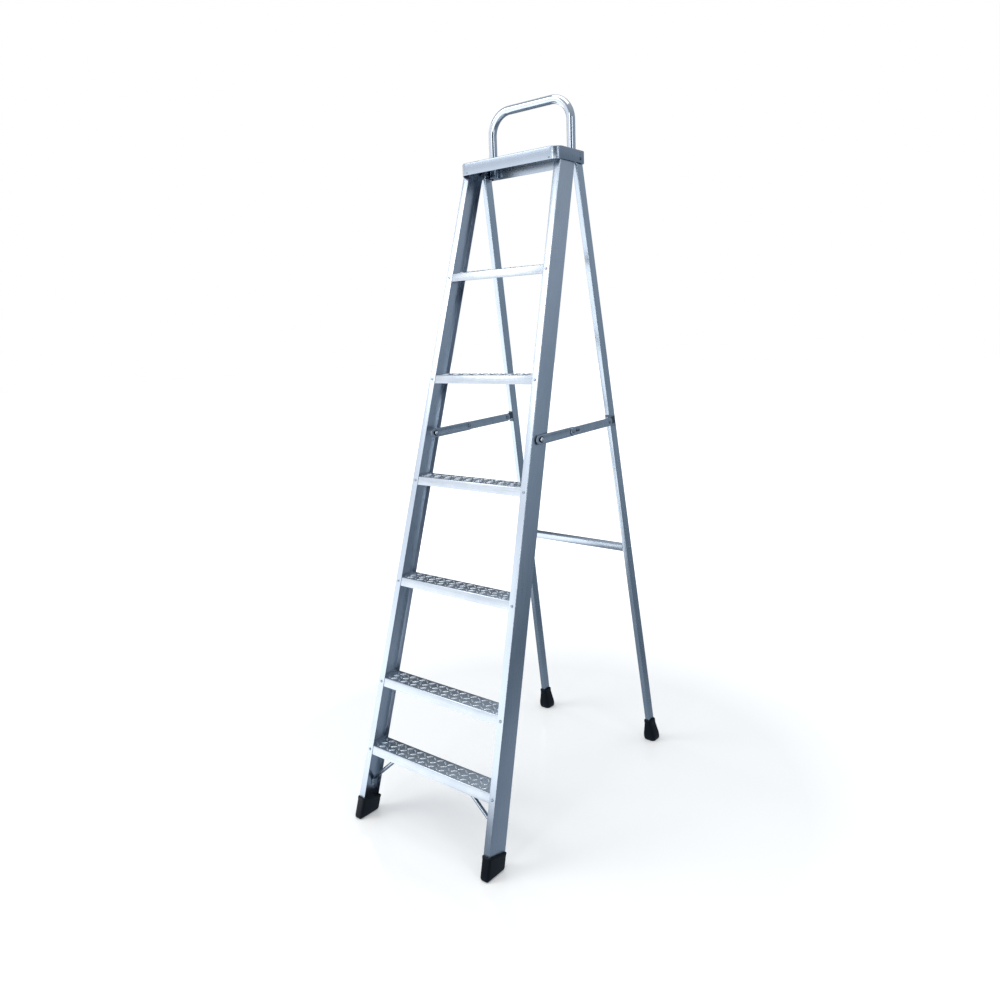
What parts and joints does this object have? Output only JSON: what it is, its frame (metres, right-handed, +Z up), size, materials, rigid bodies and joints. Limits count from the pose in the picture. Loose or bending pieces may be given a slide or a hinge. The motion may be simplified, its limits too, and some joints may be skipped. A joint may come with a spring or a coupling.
{
  "type": "step ladder",
  "caption": "Folding step ladder with flat treads between channel stiles, a tray top, a tube handle hoop and a braced rear frame on spreaders.",
  "frame": {"origin": "centre of the footprint on the floor, ladder open", "axes": "+Z up, +Y towards the rear legs, +X to the right seen from the climbing side"},
  "size_m": [0.536, 0.9924, 2.112],
  "materials": {
    "rail": "extruded, mill finish",
    "tread": "rolled sheet, raised bosses",
    "cap": "folded sheet, satin",
    "tube": "polished",
    "strap": "zinc plated",
    "bracket": "dark coated",
    "pin": "zinc plated",
    "rivet": "drawn",
    "rubber": "moulded"
  },
  "bodies": {
    "root": {"cap_rivets": "rivet", "front_boot_left": "rubber", "front_boot_right": "rubber", "handle_hoop": "tube", "handle_rivets": "rivet", "hinge_bush_left": "pin", "hinge_bush_right": "pin", "hinge_pin_left": "pin", "hinge_pin_right": "pin", "spreader_stud_left": "pin", "spreader_stud_right": "pin", "step_1": "tread", "step_2": "tread", "step_3": "tread", "step_4": "tread", "step_5": "tread", "step_6": "tread", "step_rivets_left": "rivet", "step_rivets_right": "rivet", "stile_left": "rail", "stile_right": "rail", "strut_left": "strap", "strut_right": "strap", "strut_rivets": "rivet", "top_cap": "cap"},
    "rear_frame": {"brace_rivets": "rivet", "bracket_pin_left": "pin", "bracket_pin_right": "pin", "bracket_rivets_left": "rivet", "bracket_rivets_right": "rivet", "rear_boot_left": "rubber", "rear_boot_right": "rubber", "rear_brace": "rail", "rear_leg_left": "rail", "rear_leg_right": "rail", "spreader_bracket_left": "bracket", "spreader_bracket_right": "bracket"},
    "spreader_front_left": {"knee_rivet_left": "pin", "spreader_front_left": "strap"},
    "spreader_front_right": {"knee_rivet_right": "pin", "spreader_front_right": "strap"},
    "spreader_rear_left": {"knee_head_left": "pin", "spreader_rear_left": "strap"},
    "spreader_rear_right": {"knee_head_right": "pin", "spreader_rear_right": "strap"}
  },
  "joints": [
    {"name": "rear_fold", "type": "hinge", "parent": "root", "child": "rear_frame", "pos_m": [0, 0.13894, 1.92176], "axis": [-1, 0, 0], "range_deg": [0, 25]},
    {"name": "spreader_front_left_fold", "type": "hinge", "parent": "root", "child": "spreader_front_left", "pos_m": [0, -0.13301, 1.15], "axis": [-1, 0, 0], "range_deg": [0, 78.1]},
    {"name": "spreader_rear_left_fold", "type": "hinge", "parent": "rear_frame", "child": "spreader_rear_left", "pos_m": [0, 0.22104, 1.162], "axis": [-1, 0, 0], "range_deg": [-116.7, 0]},
    {"name": "spreader_front_right_fold", "type": "hinge", "parent": "root", "child": "spreader_front_right", "pos_m": [0, -0.13301, 1.15], "axis": [-1, 0, 0], "range_deg": [0, 78.1]},
    {"name": "spreader_rear_right_fold", "type": "hinge", "parent": "rear_frame", "child": "spreader_rear_right", "pos_m": [0, 0.22104, 1.162], "axis": [-1, 0, 0], "range_deg": [-116.7, 0]}
  ],
  "couplings": [
    {"joint": "spreader_front_left_fold", "follows": "rear_fold", "ratio": 3.1169},
    {"joint": "spreader_rear_left_fold", "follows": "rear_fold", "ratio": -4.6637},
    {"joint": "spreader_front_right_fold", "follows": "rear_fold", "ratio": 3.1169},
    {"joint": "spreader_rear_right_fold", "follows": "rear_fold", "ratio": -4.6637}
  ]
}
